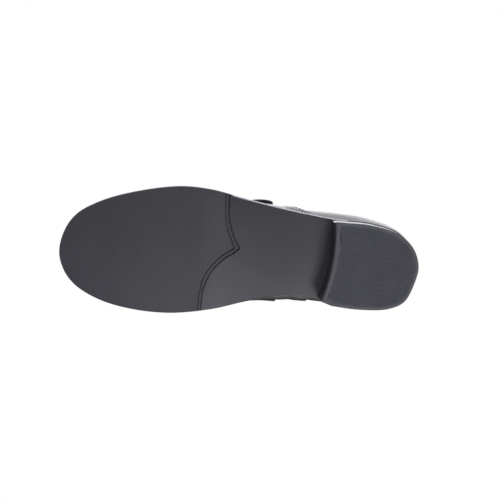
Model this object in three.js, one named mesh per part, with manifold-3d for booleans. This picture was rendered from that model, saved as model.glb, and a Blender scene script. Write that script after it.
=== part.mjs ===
// A left strap shoe for tap practice, in millimetres: toe towards -X, outer side towards -Y, +Z up.
// The sole stands on z = 0. Depths into the wall are measured from the outer face of the upper.
import * as THREE from "three";
import { mergeVertices } from "three/addons/utils/BufferGeometryUtils.js";
import Module from "manifold-3d";

const wasm = await Module();
wasm.setup();

// ---------------------------------------------------------------- driving dimensions
const soleLength = 252;
const ballWidth = 88.7;
const heelHeight = 22; // to the underside of the outsole
const topPieceThickness = 5;
const toeSpring = 9;
const toeSpringLength = 62;
const waistStart = 98; // where the sole leaves the floor behind the tread
const heelSeatStart = 182; // where the underside is flat again
const outsoleThickness = 4;
const leatherThickness = 1.3;
const stiffenerThickness = 0.9;
const liningThickness = 0.8;
const boardThickness = 2.2;
const sockThickness = 1.2;
const cushionThickness = 2.5;
const marginWidth = 12; // upper turned under the insole board
const seamLap = 7; // vamp lapped over the quarters
const seamBack = 4; // how far the outer side seam lies back at the sole
const seamForward = 7; // and forwards higher up
const bindingThickness = 0.7;
const bindingLeg = 5;
const strapWidth = 19;
const strapThickness = 1.2;
const strapLiningThickness = 0.5;
const patchThickness = 0.55;
const tabLength = 17;
const strapRise = 17; // length of the arch's handles
const strapLean = THREE.MathUtils.degToRad(20);
const strapPlace = 147; // of the strap's middle plane, measured along its lean
const nailRadius = 1;
const nailHeadRadius = 2.2;
const nailHeadHeight = 0.8;
const nailReach = 13; // into the heel block
const rivetRadius = 1.6;
const shankWidth = 14;
const shankThickness = 1.2;
const grooveWidth = 1;
const grooveDepth = 0.6;
const clearance = 0.3;
const glueLine = 0.05; // between the heel's flat faces and what they are stuck to

// ---------------------------------------------------------------- places, as shares of length and ball width
const outlineShares = [
  [0, 0], [0.014, -0.175], [0.048, -0.31], [0.111, -0.415], [0.202, -0.498], [0.333, -0.557],
  [0.421, -0.539], [0.508, -0.477], [0.623, -0.399], [0.766, -0.325], [0.865, -0.304],
  [0.944, -0.237], [0.984, -0.13], [1, 0.011], [0.992, 0.135], [0.964, 0.299], [0.921, 0.361],
  [0.841, 0.375], [0.754, 0.349], [0.679, 0.311], [0.623, 0.3], [0.52, 0.346], [0.433, 0.402],
  [0.317, 0.443], [0.21, 0.423], [0.119, 0.361], [0.05, 0.259], [0.016, 0.15],
];
const frontGrooveShares = [
  [0.46, -0.5], [0.461, -0.42], [0.468, -0.263], [0.481, -0.161], [0.498, -0.067],
  [0.463, -0.011], [0.428, 0.092], [0.405, 0.213], [0.395, 0.333], [0.394, 0.41],
];
const rearGrooveShares = [
  [0.473, -0.49], [0.472, -0.42], [0.476, -0.303], [0.489, -0.185], [0.505, -0.06],
  [0.477, -0.011], [0.439, 0.092], [0.413, 0.228], [0.406, 0.331], [0.404, 0.41],
];
const nailShares = [
  [0.825, -0.101], [0.825, 0.158], [0.881, -0.09], [0.881, 0.147], [0.929, 0.034],
];
const shankPlaces = { front: 0.228, rivetFront: 0.245, rivetRear: 0.375, rear: 0.392 }; // along the edge
const breastShares = { outer: [0.768, -0.321], inner: [0.735, 0.324], hollow: 0.012, slant: 0.008 };

// Round the upper, from the toe by the outer side to the heel and back by the inner side.
// Each row: place along the edge; topline x, y and height; inset of the foot of the wall;
// then how the wall rises, bulges, reaches back to its foot, flares and drops from the topline.
const upperRows = [
  [0, 0.365, -0.045, 43, 2.5, 24, -0.5, 0.6, 0, 11.5],
  [0.04, 0.368, -0.12, 43, 2.5, 23, 0.5, 0.6, 0, 11.5],
  [0.08, 0.381, -0.19, 42.5, 2.5, 21.5, 1.5, 0.58, 0, 12],
  [0.14, 0.413, -0.28, 41, 2.5, 18.5, 3, 0.53, 0, 12.5],
  [0.2, 0.468, -0.335, 38, 2.5, 16, 4, 0.5, 0, 13],
  [0.27, 0.548, -0.35, 42, 2.2, 16, 3.2, 0.45, 0, 13],
  [0.33, 0.659, -0.333, 40, 2, 16, 6.8, 0.3, 3, 13],
  [0.38, 0.762, -0.3, 41, 1, 19, 7.5, 0, 5.5, 14],
  [0.43, 0.873, -0.255, 46, 1, 20, 5.5, 0, 4.5, 16],
  [0.47, 0.938, -0.145, 56, 1, 21, 5, 0.2, 4, 19],
  [0.5, 0.964, 0.023, 60, 1, 22, 5, 0.3, 2.5, 20],
  [0.53, 0.941, 0.18, 56, 1, 21, 5, 0.2, 4, 19],
  [0.57, 0.876, 0.285, 46, 1, 20, 5, 0, 4, 16],
  [0.62, 0.765, 0.31, 39, 1.2, 18, 5, 0, 3.5, 14],
  [0.67, 0.659, 0.29, 39.5, 1.5, 16, 9, 0.2, 3.4, 13],
  [0.7, 0.604, 0.294, 41, 1.7, 16, 12.5, 0.3, 2.5, 13],
  [0.73, 0.548, 0.305, 42, 1.8, 16, 9, 0.4, 0.5, 13],
  [0.8, 0.468, 0.245, 39, 2.5, 16, 4, 0.5, 0, 13],
  [0.86, 0.413, 0.18, 41.5, 2.5, 18.5, 2.5, 0.53, 0, 12.5],
  [0.92, 0.381, 0.095, 42.5, 2.5, 21.5, 1.5, 0.58, 0, 12],
  [0.96, 0.368, 0.03, 43, 2.5, 23, 0.5, 0.6, 0, 11.5],
];
const seams = { outer: 0.34, inner: 0.664, liningOuter: 0.235, liningInner: 0.765 };
const wallFoot = 0.12; // share of the wall's height where stiffeners and linings start
const wallHeights = [0, wallFoot, 0.18, 0.24, 0.38, 0.52, 0.66, 0.8, 0.9, 1];
const ringStations = 80; // places round the edge that all layers of the upper share

// ---------------------------------------------------------------- materials
const finish = (color, roughness, metalness = 0) =>
  new THREE.MeshStandardMaterial({ color, roughness, metalness });
const finishes = {
  sole: finish(0x3a3a3e, 0.45),
  heel: finish(0x202022, 0.4),
  rubber: finish(0x48494e, 0.7),
  leather: finish(0x1b1b1d, 0.35),
  lining: finish(0x8d8373, 0.85),
  foam: finish(0xb9b2a0, 0.9),
  board: finish(0xa88f68, 0.9),
  stiffener: finish(0x9c8f7a, 0.8),
  cork: finish(0x9b7650, 0.95),
  steel: finish(0x9a9da1, 0.35, 1),
  fastener: finish(0x17171a, 0.95),
};

// ---------------------------------------------------------------- closed solids from grids and loops
const vec = (x, y, z) => new THREE.Vector3(x, y, z);
const blend = THREE.MathUtils.lerp;
const ease = THREE.MathUtils.smoothstep;

// Welds the corners, drops faces that have closed up and turns the solid outwards.
function solid(corners, faces) {
  const places = new Map();
  const positions = [];
  const index = corners.map((p) => {
    const key = [p.x, p.y, p.z].map((v) => Math.round(v * 1000)).join();
    if (!places.has(key)) {
      places.set(key, positions.length / 3);
      positions.push(p.x, p.y, p.z);
    }
    return places.get(key);
  });
  const kept = faces
    .map((face) => face.map((k) => index[k]))
    .filter(([a, b, c]) => a !== b && b !== c && c !== a);
  const at = (k) => vec(...positions.slice(3 * k, 3 * k + 3));
  const volume = kept.reduce((sum, [a, b, c]) => sum + at(a).dot(at(b).cross(at(c))), 0);
  const turned = volume < 0 ? kept.map(([a, b, c]) => [a, c, b]) : kept;
  const geometry = new THREE.BufferGeometry();
  geometry.setAttribute("position", new THREE.Float32BufferAttribute(positions, 3));
  geometry.setIndex(turned.flat());
  return geometry;
}

// A plate between two sheets of (columns + 1) by (rows + 1) points.
function plate(columns, rows, front, back) {
  const corners = [];
  const faces = [];
  for (const sheet of [front, back])
    for (let i = 0; i <= columns; i++)
      for (let j = 0; j <= rows; j++) corners.push(sheet(i, j));
  const at = (side, i, j) => (side * (columns + 1) + i) * (rows + 1) + j;
  const quad = (a, b, c, d) => faces.push([a, b, c], [a, c, d]);
  for (let i = 0; i < columns; i++)
    for (let j = 0; j < rows; j++) {
      quad(at(0, i, j), at(0, i + 1, j), at(0, i + 1, j + 1), at(0, i, j + 1));
      quad(at(1, i, j), at(1, i, j + 1), at(1, i + 1, j + 1), at(1, i + 1, j));
    }
  for (let i = 0; i < columns; i++) {
    quad(at(1, i, 0), at(1, i + 1, 0), at(0, i + 1, 0), at(0, i, 0));
    quad(at(0, i, rows), at(0, i + 1, rows), at(1, i + 1, rows), at(1, i, rows));
  }
  for (let j = 0; j < rows; j++) {
    quad(at(0, 0, j), at(0, 0, j + 1), at(1, 0, j + 1), at(1, 0, j));
    quad(at(1, columns, j), at(1, columns, j + 1), at(0, columns, j + 1), at(0, columns, j));
  }
  return solid(corners, faces);
}

// A skin over loops of points: closed on itself, or capped at both ends from the loop's middle.
function loft(loops, closed = false) {
  const size = loops[0].length;
  const corners = loops.flat();
  const faces = [];
  for (let i = 0; i < loops.length - (closed ? 0 : 1); i++)
    for (let j = 0; j < size; j++) {
      const next = (i + 1) % loops.length;
      const k = (j + 1) % size;
      faces.push([i * size + j, next * size + j, next * size + k]);
      faces.push([i * size + j, next * size + k, i * size + k]);
    }
  if (!closed)
    for (const i of [0, loops.length - 1]) {
      const middle = loops[i].reduce((sum, p) => sum.add(p), vec(0, 0, 0)).divideScalar(size);
      corners.push(middle);
      for (let j = 0; j < size; j++) {
        const pair = [i * size + j, i * size + ((j + 1) % size)];
        faces.push([corners.length - 1, ...(i === 0 ? pair : pair.reverse())]);
      }
    }
  return solid(corners, faces);
}

function toManifold(geometry) {
  const bare = geometry.clone();
  bare.deleteAttribute("normal");
  bare.deleteAttribute("uv");
  const merged = mergeVertices(bare, 1e-3);
  return new wasm.Manifold(
    new wasm.Mesh({
      numProp: 3,
      vertProperties: merged.attributes.position.array,
      triVerts: new Uint32Array(merged.index.array),
    }),
  );
}

function cut(geometry, cutters) {
  let body = toManifold(geometry);
  for (const cutter of cutters) body = body.subtract(toManifold(cutter));
  const mesh = body.getMesh();
  const result = new THREE.BufferGeometry();
  result.setAttribute("position", new THREE.BufferAttribute(mesh.vertProperties, 3));
  result.setIndex(new THREE.BufferAttribute(mesh.triVerts, 1));
  return result;
}

// An upright round bar or hole between two heights.
function post([x, y], radius, low, high) {
  const bar = new THREE.CylinderGeometry(radius, radius, high - low, 16);
  bar.rotateX(Math.PI / 2);
  bar.translate(x, y, (low + high) / 2);
  return bar;
}

const shoe = new THREE.Group();
function add(name, geometry, material) {
  geometry.computeVertexNormals();
  const mesh = new THREE.Mesh(geometry, material);
  mesh.name = name;
  shoe.add(mesh);
}

// ---------------------------------------------------------------- the sole's lines
const place = ([x, y]) => [x * soleLength, y * ballWidth];
const outline = new THREE.CatmullRomCurve3(
  outlineShares.map((share) => vec(...place(share), 0)),
  true,
  "centripetal",
);
outline.arcLengthDivisions = 1500;
const perimeter = outline.getLength();
const wrap = (s) => s - Math.floor(s);

// Height of the sole's underside: toe spring, flat tread, waist, flat heel seat.
function base(x) {
  const spring = Math.max(0, (toeSpringLength - x) / toeSpringLength);
  return toeSpring * spring * spring + heelHeight * ease(x, waistStart, heelSeatStart);
}

function outward(s) {
  const tangent = outline.getPointAt(wrap(s + 0.002)).sub(outline.getPointAt(wrap(s - 0.002)));
  return vec(tangent.y, -tangent.x, 0).normalize();
}
const edge = (s, inset) => outline.getPointAt(wrap(s)).addScaledVector(outward(s), -inset);

// A layer that follows the sole, between two heights over its underside.
// Places run along the edge from 0 at the toe to 0.5 at the heel, on both sides at once.
function soleLayer({ from = 0, to = 0.5, inset, low, high, columns = 46, rows = 4 }) {
  const sheet = (height) => (i, j) => {
    const s = blend(from, to, i / columns);
    const point = edge(s, inset(s)).lerp(edge(1 - s, inset(1 - s)), j / rows);
    point.z = base(point.x) + height(point.x);
    return point;
  };
  return plate(columns, rows, sheet(high), sheet(low));
}

const marginLow = outsoleThickness + clearance;
const marginHigh = marginLow + leatherThickness;
const boardLow = marginHigh + clearance;
const boardHigh = boardLow + boardThickness;
const sockLow = boardHigh + clearance;
const cushionSwell = (x) => (cushionThickness + clearance) * ease(x, 0.6 * soleLength, 0.71 * soleLength);

// ---------------------------------------------------------------- the upper's surface
// Smooth values round the shoe, through rows that start with their place along the edge.
function around(rows) {
  const n = rows.length;
  const row = (k) => rows[((k % n) + n) % n];
  const at = (k) => row(k)[0] + Math.floor(k / n);
  return (s) => {
    const w = wrap(s);
    let k = n - 1;
    while (rows[k][0] > w) k--;
    const span = at(k + 1) - at(k);
    const u = (w - at(k)) / span;
    return row(k).slice(1).map((value, column) => {
      const c = column + 1;
      const slope = (m) => (row(m + 1)[c] - row(m - 1)[c]) / (at(m + 1) - at(m - 1));
      const a = 2 * (value - row(k + 1)[c]) + span * (slope(k) + slope(k + 1));
      const b = 3 * (row(k + 1)[c] - value) - span * (2 * slope(k) + slope(k + 1));
      return ((a * u + b) * u + span * slope(k)) * u + value;
    });
  };
}
const upperShape = around(upperRows);
const footInset = (s) => upperShape(s)[3];

// Places near the outer side seam move along the edge with height, so that the seam leans forwards.
const leanHeight = 0.4; // share of the wall's height
const leanReach = 0.09; // along the edge, on each side of the seam
function leant(s, t) {
  const near = 1 - ease(Math.abs(wrap(s) - seams.outer), 0.02, leanReach);
  return s + (near * blend(seamBack, -seamForward, ease(t, 0, leanHeight))) / perimeter;
}

// Outer face of the upper: its place along the edge, and t from 0 at the sole to 1 at the topline.
function outerFace(place, t) {
  const s = leant(place, t);
  const [tx, ty, height, inset, rise, bulge, reach, flare, drop] = upperShape(s);
  const foot = edge(s, inset);
  foot.z = base(foot.x) + marginLow;
  const top = vec(tx * soleLength, ty * ballWidth, 0);
  top.z = base(top.x) + height;
  const out = outward(s);
  const low = foot.clone().addScaledVector(out, bulge);
  low.z += rise;
  const high = vec(blend(top.x, foot.x, reach), blend(top.y, foot.y, reach), top.z - drop);
  high.addScaledVector(out, flare);
  return new THREE.CubicBezierCurve3(foot, low, high, top).getPoint(t);
}

// Unit normal of a surface point(u, v), towards du x dv.
function normalOf(point, u, v, step = 0.004) {
  const du = point(u + step, v).sub(point(u - step, v));
  const dv = point(u, v + step).sub(point(u, v - step));
  return du.cross(dv).normalize();
}
const faceAt = (s, t) => outerFace(s, Math.min(Math.max(t, 0), 1));
const wall = (s, t, depth) => outerFace(s, t).addScaledVector(normalOf(faceAt, s, t), -depth);

const liningDepth = leatherThickness + stiffenerThickness + 2 * clearance;
const wallDepth = liningDepth + liningThickness;
const lapRise = leatherThickness + clearance;

// How far the vamp stands off the wall's outer face, to lap over the quarters.
const lapShare = seamLap / perimeter;
function lap(s) {
  const w = wrap(s);
  const outer = w < 0.5 ? w - (seams.outer - lapShare) : seams.inner + lapShare - w;
  return lapRise * ease(outer, -lapShare, 0);
}
// The binding comes down again behind the seam.
function lapUnderBinding(s) {
  const w = wrap(s);
  const past = w < 0.5 ? w - seams.outer : seams.inner - w;
  return past < 0 ? lap(s) : lapRise * (1 - ease(past * perimeter, 1, 6));
}

// The shared places between two ends, with the steps of the lap where the ends take them in.
function between(from, to, shared) {
  const nearest = 0.25 / ringStations;
  const inside = shared.filter((v) => v > from + nearest && v < to - nearest);
  return [from, ...inside, to];
}
const lapSteps = [0, 1, 1.33, 1.67, 2].map((n) => (n * seamLap) / perimeter);
const lapPlaces = lapSteps.flatMap((v) => [seams.outer - v, seams.inner + v, seams.inner + v - 1]);
const ringPlaces = Array.from({ length: 2 * ringStations }, (_, k) => k / ringStations - 1)
  .filter((v) => lapPlaces.every((place) => Math.abs(place - v) > 0.4 / ringStations))
  .concat(lapPlaces)
  .sort((a, b) => a - b);

// A panel of the upper's wall between two depths, over stretches of s and t.
function panel({ from, to, low = wallFoot, high = 1, outer, inner, drawn = () => 0 }) {
  const places = between(from, to, ringPlaces);
  const heights = between(low, high, wallHeights);
  const sheet = (depth) => (i, j) => wall(places[i], heights[j], depth - drawn(heights[j]));
  return plate(places.length - 1, heights.length - 1, sheet(outer), sheet(inner));
}

// Leather of the upper with its lasting margin turned under the insole board.
function lastedPanel({ from, to, shift = () => 0, stand = () => 0 }) {
  const marginRows = 2;
  const places = between(from, to, ringPlaces);
  const sheet = (inner) => (i, j) => {
    const k = j - marginRows;
    const t = wallHeights[Math.max(0, k)];
    const s = places[i] + shift(i / (places.length - 1), t);
    if (k > 0) {
      const lift = stand(s) * ease(t, 0, wallFoot);
      return wall(s, t, (inner ? leatherThickness : 0) - lift);
    }
    const along = (-k / marginRows) * marginWidth + (inner ? leatherThickness : 0);
    const foot = leant(s, 0);
    const point = edge(foot, footInset(foot) + Math.min(along, marginWidth));
    point.z = base(point.x) + (inner ? marginHigh : marginLow);
    return point;
  };
  return plate(places.length - 1, wallHeights.length - 1 + marginRows, sheet(false), sheet(true));
}

// ---------------------------------------------------------------- bottom parts
const heelArcStart = 0.378;
const heelArcEnd = 0.638;

// Outline of the heel at one height, breast first moved forwards by the slant.
function heelLoop(z, inset) {
  const [outerX, outerY] = place(breastShares.outer);
  const [innerX, innerY] = place(breastShares.inner);
  const forward = (breastShares.slant * soleLength * z) / heelHeight;
  const loop = [];
  for (let k = 0; k <= 28; k++) {
    const point = edge(blend(heelArcStart, heelArcEnd, k / 28), inset);
    point.z = z;
    loop.push(point);
  }
  const steps = 10;
  for (let k = 0; k <= steps; k++) {
    const u = k / steps;
    const hollow = breastShares.hollow * soleLength * 4 * u * (1 - u);
    const y = blend(innerY - inset, outerY + inset, u);
    loop.push(vec(blend(innerX, outerX, u) + hollow - forward, y, z));
  }
  return loop;
}

const nailSpots = nailShares.map(place);
const soleMiddle = (s) => edge(s, 0).lerp(edge(1 - s, 0), 0.5);
const rivetSpots = {
  shank_rivet_front: soleMiddle(shankPlaces.rivetFront).toArray().slice(0, 2),
  shank_rivet_rear: soleMiddle(shankPlaces.rivetRear).toArray().slice(0, 2),
};
const holeFor = (spot, radius, low, high) => post(spot, radius + clearance, low, high);
const nailTip = heelHeight - nailReach;

const grooves = [frontGrooveShares, rearGrooveShares].map((shares) => {
  const path = new THREE.CatmullRomCurve3(shares.map((share) => vec(...place(share), 0)));
  const steps = 30;
  const sheet = (height) => (i, j) => {
    const tangent = path.getTangentAt(i / steps);
    const side = (j - 0.5) * grooveWidth;
    const point = path.getPointAt(i / steps);
    point.add(vec(-tangent.y * side, tangent.x * side, 0));
    point.z = base(point.x) + height;
    return point;
  };
  return plate(steps, 1, sheet(grooveDepth), sheet(-1));
});

const outsoleBlank = soleLayer({
  inset: () => 0,
  low: () => 0,
  high: () => outsoleThickness,
});
const nailHoles = nailSpots.map((spot) => holeFor(spot, nailRadius, nailTip - clearance, 2 * heelHeight));
add("outsole", cut(outsoleBlank, [...grooves, ...nailHoles]), finishes.sole);

const blockLow = topPieceThickness + glueLine;
const blockHigh = heelHeight - glueLine;
const blockLoops = [0, 0.33, 0.67, 1].map((u) =>
  heelLoop(blend(blockLow, blockHigh, u), 0.6 + 0.8 * Math.sin(Math.PI * u)),
);
add("heel_block", cut(loft(blockLoops), nailHoles), finishes.heel);
const topPieceLoops = [0, topPieceThickness].map((z) => heelLoop(z, 0.6));
add("heel_top_piece", loft(topPieceLoops), finishes.rubber);

nailSpots.forEach((spot, k) => {
  const headTop = heelHeight + boardHigh;
  const profile = [
    [0, nailTip],
    [nailRadius, nailTip + 3],
    [nailRadius, headTop - nailHeadHeight],
    [nailHeadRadius, headTop - nailHeadHeight],
    [nailHeadRadius, headTop],
    [0, headTop],
  ].map(([r, z]) => new THREE.Vector2(r, z));
  const nail = new THREE.LatheGeometry(profile, 10);
  nail.rotateX(Math.PI / 2);
  nail.translate(...spot, 0);
  add(`heel_nail_${k + 1}`, nail, finishes.steel);
});

const shankSheet = (height) => (i, j) => {
  const point = soleMiddle(blend(shankPlaces.front, shankPlaces.rear, i / 24));
  point.y += (j - 0.5) * shankWidth;
  point.z = base(point.x) + height;
  return point;
};
const rivetHoles = Object.values(rivetSpots).map((spot) =>
  holeFor(spot, rivetRadius, base(spot[0]), base(spot[0]) + 2 * boardHigh),
);
const shankBlank = plate(24, 1, shankSheet(marginLow + shankThickness), shankSheet(marginLow));
add("shank", cut(shankBlank, rivetHoles), finishes.steel);
for (const [name, spot] of Object.entries(rivetSpots)) {
  const low = base(spot[0] + rivetRadius) + marginLow;
  const high = base(spot[0] - rivetRadius) + boardHigh;
  add(name, post(spot, rivetRadius, low, high), finishes.steel);
}

add(
  "forepart_filler",
  soleLayer({
    from: 0.035,
    to: 0.205,
    inset: (s) => footInset(s) + marginWidth + clearance,
    low: () => marginLow,
    high: () => marginHigh,
    columns: 14,
  }),
  finishes.cork,
);

const boardBlank = soleLayer({
  inset: (s) => footInset(s) + wallDepth + 2 * clearance,
  low: () => boardLow,
  high: () => boardHigh,
  rows: 2,
});
const headSeat = heelHeight + boardHigh - nailHeadHeight - clearance;
const headHoles = nailSpots.map((spot) => holeFor(spot, nailHeadRadius, headSeat, 2 * heelHeight));
add("insole_board", cut(boardBlank, [...nailHoles, ...headHoles, ...rivetHoles]), finishes.board);

add(
  "heel_cushion",
  soleLayer({
    from: 0.336,
    inset: (s) => footInset(s) + wallDepth + 7 * clearance,
    low: () => sockLow,
    high: (x) => sockLow + cushionSwell(x) - clearance,
    columns: 16,
    rows: 2,
  }),
  finishes.foam,
);
add(
  "sock_lining",
  soleLayer({
    inset: (s) => footInset(s) + wallDepth + 3 * clearance,
    low: (x) => sockLow + cushionSwell(x),
    high: (x) => sockLow + cushionSwell(x) + sockThickness,
    rows: 2,
  }),
  finishes.lining,
);

// ---------------------------------------------------------------- upper
const seamGap = clearance / perimeter;
add(
  "vamp",
  lastedPanel({ from: seams.inner - 1, to: seams.outer, stand: lap }),
  finishes.leather,
);
// Below the lap the quarters start at the seam; above it they run on under the vamp.
const underLap = (nearSeam, t) => nearSeam ** 8 * ease(t, 1.3 * wallFoot, 1.9 * wallFoot) * lapShare;
add(
  "quarter_lateral",
  lastedPanel({
    from: seams.outer + seamGap,
    to: 0.5 - seamGap / 2,
    shift: (u, t) => -underLap(1 - u, t),
  }),
  finishes.leather,
);
add(
  "quarter_medial",
  lastedPanel({
    from: 0.5 + seamGap / 2,
    to: seams.inner - seamGap,
    shift: (u, t) => underLap(u, t),
  }),
  finishes.leather,
);
const bindingShare = (s) => 1 - bindingLeg / outerFace(s, 1).distanceTo(outerFace(s, 0.98)) * 0.02;
const stripHalf = 7 / perimeter;
add(
  "back_strip",
  panel({
    from: 0.5 - stripHalf,
    to: 0.5 + stripHalf,
    low: 0.06,
    high: bindingShare(0.5) - 0.01,
    outer: -clearance - 1,
    inner: -clearance,
  }),
  finishes.leather,
);
const stiffenerTop = 0.72; // share of the wall's height
const stiffenerDepth = leatherThickness + clearance;
const stiffener = { outer: stiffenerDepth, inner: stiffenerDepth + stiffenerThickness };
add(
  "toe_puff",
  panel({ from: -0.13, to: 0.13, high: 0.42, ...stiffener }),
  finishes.stiffener,
);
add(
  "heel_counter",
  panel({ from: 0.37, to: 0.63, high: stiffenerTop, ...stiffener }),
  finishes.stiffener,
);
// Above the stiffeners the lining is drawn up to the leather.
const drawnIn = stiffenerThickness + clearance;
const drawnLining = (t) => drawnIn * ease(t, stiffenerTop + 0.04, 0.86);
const lining = { outer: liningDepth, inner: wallDepth, drawn: drawnLining };
add(
  "vamp_lining",
  panel({ from: seams.liningInner - 1, to: seams.liningOuter, ...lining }),
  finishes.lining,
);
add(
  "quarter_lining",
  panel({ from: seams.liningOuter + seamGap, to: seams.liningInner - seamGap, ...lining }),
  finishes.lining,
);

// A leather channel folded over the topline, outside, across and inside.
function bindingLoop(s) {
  const share = bindingShare(s);
  const out = -clearance - lapUnderBinding(s);
  const far = out - bindingThickness;
  const near = wallDepth - drawnIn + clearance;
  const inside = near + bindingThickness;
  const up = outerFace(s, 1).sub(outerFace(s, 0.98)).normalize();
  const over = (depth, height) => wall(s, 1, depth).addScaledVector(up, height);
  const cap = clearance + bindingThickness;
  return [
    wall(s, share, far),
    over(far, clearance),
    over(far + bindingThickness, cap),
    over(inside - bindingThickness, cap),
    over(inside, clearance),
    wall(s, share, inside),
    wall(s, share, near),
    over(near, clearance),
    over(out, clearance),
    wall(s, share, out),
  ];
}
const bindingPlaces = ringPlaces.filter((s) => s > seams.inner - 1 - 1e-6 && s < seams.inner - 1e-6);
add("topline_binding", loft(bindingPlaces.map(bindingLoop), true), finishes.leather);

// ---------------------------------------------------------------- strap
const strapAcross = vec(Math.cos(strapLean), 0, Math.sin(strapLean));
const strapHalf = strapWidth / 2;
const patchGap = patchThickness + clearance;
const strapDepth = strapThickness + clearance + strapLiningThickness + clearance;
const tabStand = 2 * patchGap + strapDepth;
const baseStandTop = bindingThickness + clearance + strapDepth;
const baseStandFoot = strapThickness + clearance;
const baseFoot = 0.4; // share of the wall's height

// The wall's outer face where the strap's plane at this distance crosses it.
function onWall(side, t, distance, stand) {
  let [low, high] = side === "outer" ? [0.16, 0.42] : [0.84, 0.58];
  for (let k = 0; k < 30; k++) {
    const middle = (low + high) / 2;
    if (outerFace(middle, t).dot(strapAcross) < distance) low = middle;
    else high = middle;
  }
  return wall(low, t, -stand);
}

// Where on the wall's height the tip of the tab lies.
function tipHeight() {
  const fold = onWall("outer", 1, strapPlace, tabStand);
  let [low, high] = [0, 1];
  for (let k = 0; k < 30; k++) {
    const middle = (low + high) / 2;
    if (onWall("outer", middle, strapPlace, tabStand).distanceTo(fold) > tabLength) low = middle;
    else high = middle;
  }
  return low;
}
const tabTip = tipHeight();

// Outer face of the strap: p 0 to 1 up the tab, 1 to 2 over the instep, 2 to 3 down the base;
// q across the width, in millimetres from the middle.
function strapFace(p, q) {
  const distance = strapPlace + q;
  const outerWall = (t) => onWall("outer", t, distance, tabStand);
  const innerWall = (t) =>
    onWall("inner", t, distance, blend(baseStandFoot, baseStandTop, ease(t, 0.6, 0.85)));
  if (p <= 1) return outerWall(blend(tabTip, 1, p));
  if (p >= 2) return innerWall(blend(1, baseFoot, p - 2));
  const outer = outerWall(1);
  const inner = innerWall(1);
  const outerUp = outer.clone().sub(outerWall(0.98)).setLength(strapRise).add(outer);
  const innerUp = inner.clone().sub(innerWall(0.98)).setLength(strapRise).add(inner);
  return new THREE.CubicBezierCurve3(outer, outerUp, innerUp, inner).getPoint(p - 1);
}
const strapKept = (p, q) => strapFace(Math.min(Math.max(p, 0), 3), q);
function strapAt(p, q, depth) {
  const dq = strapKept(p, q + 0.5).sub(strapKept(p, q - 0.5));
  const dp = strapKept(p + 0.02, q).sub(strapKept(p - 0.02, q));
  return strapFace(p, q).addScaledVector(dq.cross(dp).normalize(), -depth);
}

// A length of strap between two depths, with its ends at the listed places.
function strapPlate(stops, halfWidth, outer, inner, rows = 4) {
  const sheet = (depth) => (i, j) => {
    const half = halfWidth(stops[i]);
    return strapAt(stops[i], blend(-half, half, j / rows), depth);
  };
  return plate(stops.length - 1, rows, sheet(outer), sheet(inner));
}
const steps = (from, to, count) =>
  Array.from({ length: count + 1 }, (_, k) => blend(from, to, k / count));

// Places and widths of a tab with a half-round end, set in from the strap's own edge.
function tabShape(setIn, last) {
  const radius = strapHalf - setIn;
  const round = steps(0, 1, 6).map((u) => setIn + radius * (1 - Math.cos((u * Math.PI) / 2)));
  const stops = [...round.map((length) => length / tabLength), ...steps(0, 1, 4).slice(1).map((u) =>
    blend(round[6] / tabLength, last, u))];
  const half = (p) => {
    const left = Math.max(0, radius + setIn - p * tabLength);
    return Math.sqrt(Math.max(0, radius * radius - left * left));
  };
  return [stops, half];
}
const splitGap = 0.012; // of the places p, about 0.3 mm on each side of a fold line
const full = () => strapHalf;
const trimmed = () => strapHalf - 1;
const liningIn = strapThickness + clearance;
const liningOut = liningIn + strapLiningThickness;
const hookIn = liningOut + clearance;

add(
  "strap_base",
  strapPlate(steps(2 + splitGap, 3, 8), full, 0, strapThickness),
  finishes.leather,
);
add(
  "strap_band",
  strapPlate(steps(1 + splitGap, 2 - splitGap, 16), full, 0, strapThickness),
  finishes.leather,
);
add(
  "strap_band_lining",
  strapPlate(steps(1 + splitGap, 2 - splitGap, 16), trimmed, liningIn, liningOut),
  finishes.lining,
);
add("strap_tab", strapPlate(...tabShape(0, 1 - splitGap), 0, strapThickness), finishes.leather);
add(
  "strap_tab_lining",
  strapPlate(...tabShape(1, 1 - splitGap), liningIn, liningOut),
  finishes.lining,
);
// The patches lie between the tab's round end and the binding.
const patchTop = (bindingShare(0.28) - tabTip) / (1 - tabTip) - 0.06;
const patchPlaces = steps(2.6 / tabLength, patchTop - 0.03, 5);
const hookHalf = () => strapHalf - 4;
add(
  "hook_patch",
  strapPlate(patchPlaces, hookHalf, hookIn, hookIn + patchThickness),
  finishes.fastener,
);
const loopSheet = (stand) => (i, j) => {
  const t = blend(tabTip, 1, blend(1.2 / tabLength, patchTop, i / 6));
  return onWall("outer", t, strapPlace + (j / 4 - 0.5) * (strapWidth - 5), stand);
};
add("loop_patch", plate(6, 4, loopSheet(clearance + patchThickness), loopSheet(clearance)), finishes.fastener);

// The origin lies under the middle of the whole shoe.
const box = new THREE.Box3().setFromObject(shoe);
const middle = box.getCenter(new THREE.Vector3());
shoe.position.set(-middle.x, -middle.y, 0);

export default shoe;
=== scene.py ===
import bisect
import contextlib
import functools
import math
import bpy
from mathutils import Matrix, Vector


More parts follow.
